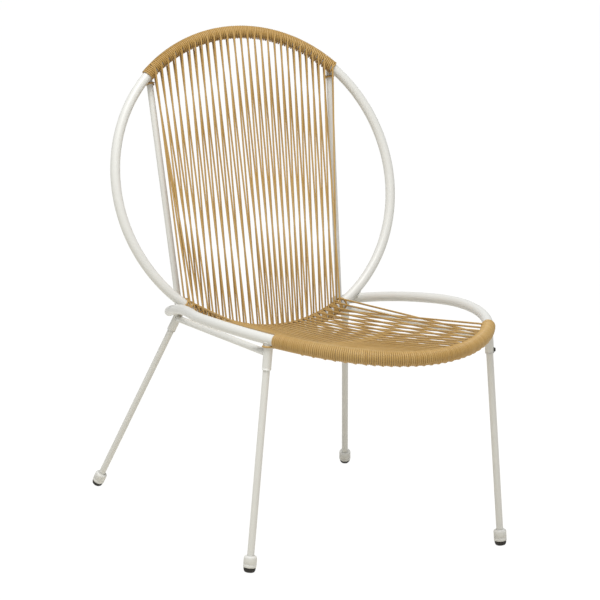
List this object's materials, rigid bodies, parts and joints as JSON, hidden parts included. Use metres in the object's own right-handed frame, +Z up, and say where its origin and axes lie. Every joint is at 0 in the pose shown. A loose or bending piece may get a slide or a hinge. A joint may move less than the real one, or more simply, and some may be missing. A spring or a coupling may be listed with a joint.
{
  "type": "acapulco chair",
  "caption": "Low garden chair with a round leaning back hoop and a horseshoe seat ring of white steel tube, strung with tan cord, on splayed legs with rubber tips.",
  "frame": {"origin": "on the floor, in the middle of the chair's bounding box seen from above", "axes": "+Z up, -Y the way the sitter faces, +X to the sitter's left"},
  "size_m": [0.568, 0.9022, 0.8829],
  "materials": {
    "white_powder_coat": "satin white powder coat",
    "white_collar_plastic": "white moulded plastic, satin",
    "black_rubber": "matte black rubber",
    "dark_bolt_steel": "blackened steel",
    "tan_cord": "tan extruded PE cord, satin"
  },
  "bodies": {
    "root": {"back_hoop": "white_powder_coat", "seat_ring": "white_powder_coat", "back_upright_left": "white_powder_coat", "back_upright_right": "white_powder_coat", "side_stretcher_left": "white_powder_coat", "side_stretcher_right": "white_powder_coat", "leg_socket_front_left": "white_powder_coat", "leg_front_left": "white_powder_coat", "leg_bolt_front_left": "dark_bolt_steel", "foot_collar_front_left": "white_collar_plastic", "foot_tip_front_left": "black_rubber", "leg_socket_front_right": "white_powder_coat", "leg_front_right": "white_powder_coat", "leg_bolt_front_right": "dark_bolt_steel", "foot_collar_front_right": "white_collar_plastic", "foot_tip_front_right": "black_rubber", "leg_socket_rear_left": "white_powder_coat", "leg_rear_left": "white_powder_coat", "leg_bolt_rear_left": "dark_bolt_steel", "foot_collar_rear_left": "white_collar_plastic", "foot_tip_rear_left": "black_rubber", "leg_socket_rear_right": "white_powder_coat", "leg_rear_right": "white_powder_coat", "leg_bolt_rear_right": "dark_bolt_steel", "foot_collar_rear_right": "white_collar_plastic", "foot_tip_rear_right": "black_rubber", "top_arc_wrap": "tan_cord", "bottom_arc_wrap": "tan_cord", "front_arc_wrap": "tan_cord", "back_cord": "tan_cord", "seat_cord": "tan_cord", "cord_tie_upper_left": "tan_cord", "cord_tie_upper_right": "tan_cord", "cord_tie_front_left": "tan_cord"}
  },
  "joints": []
}
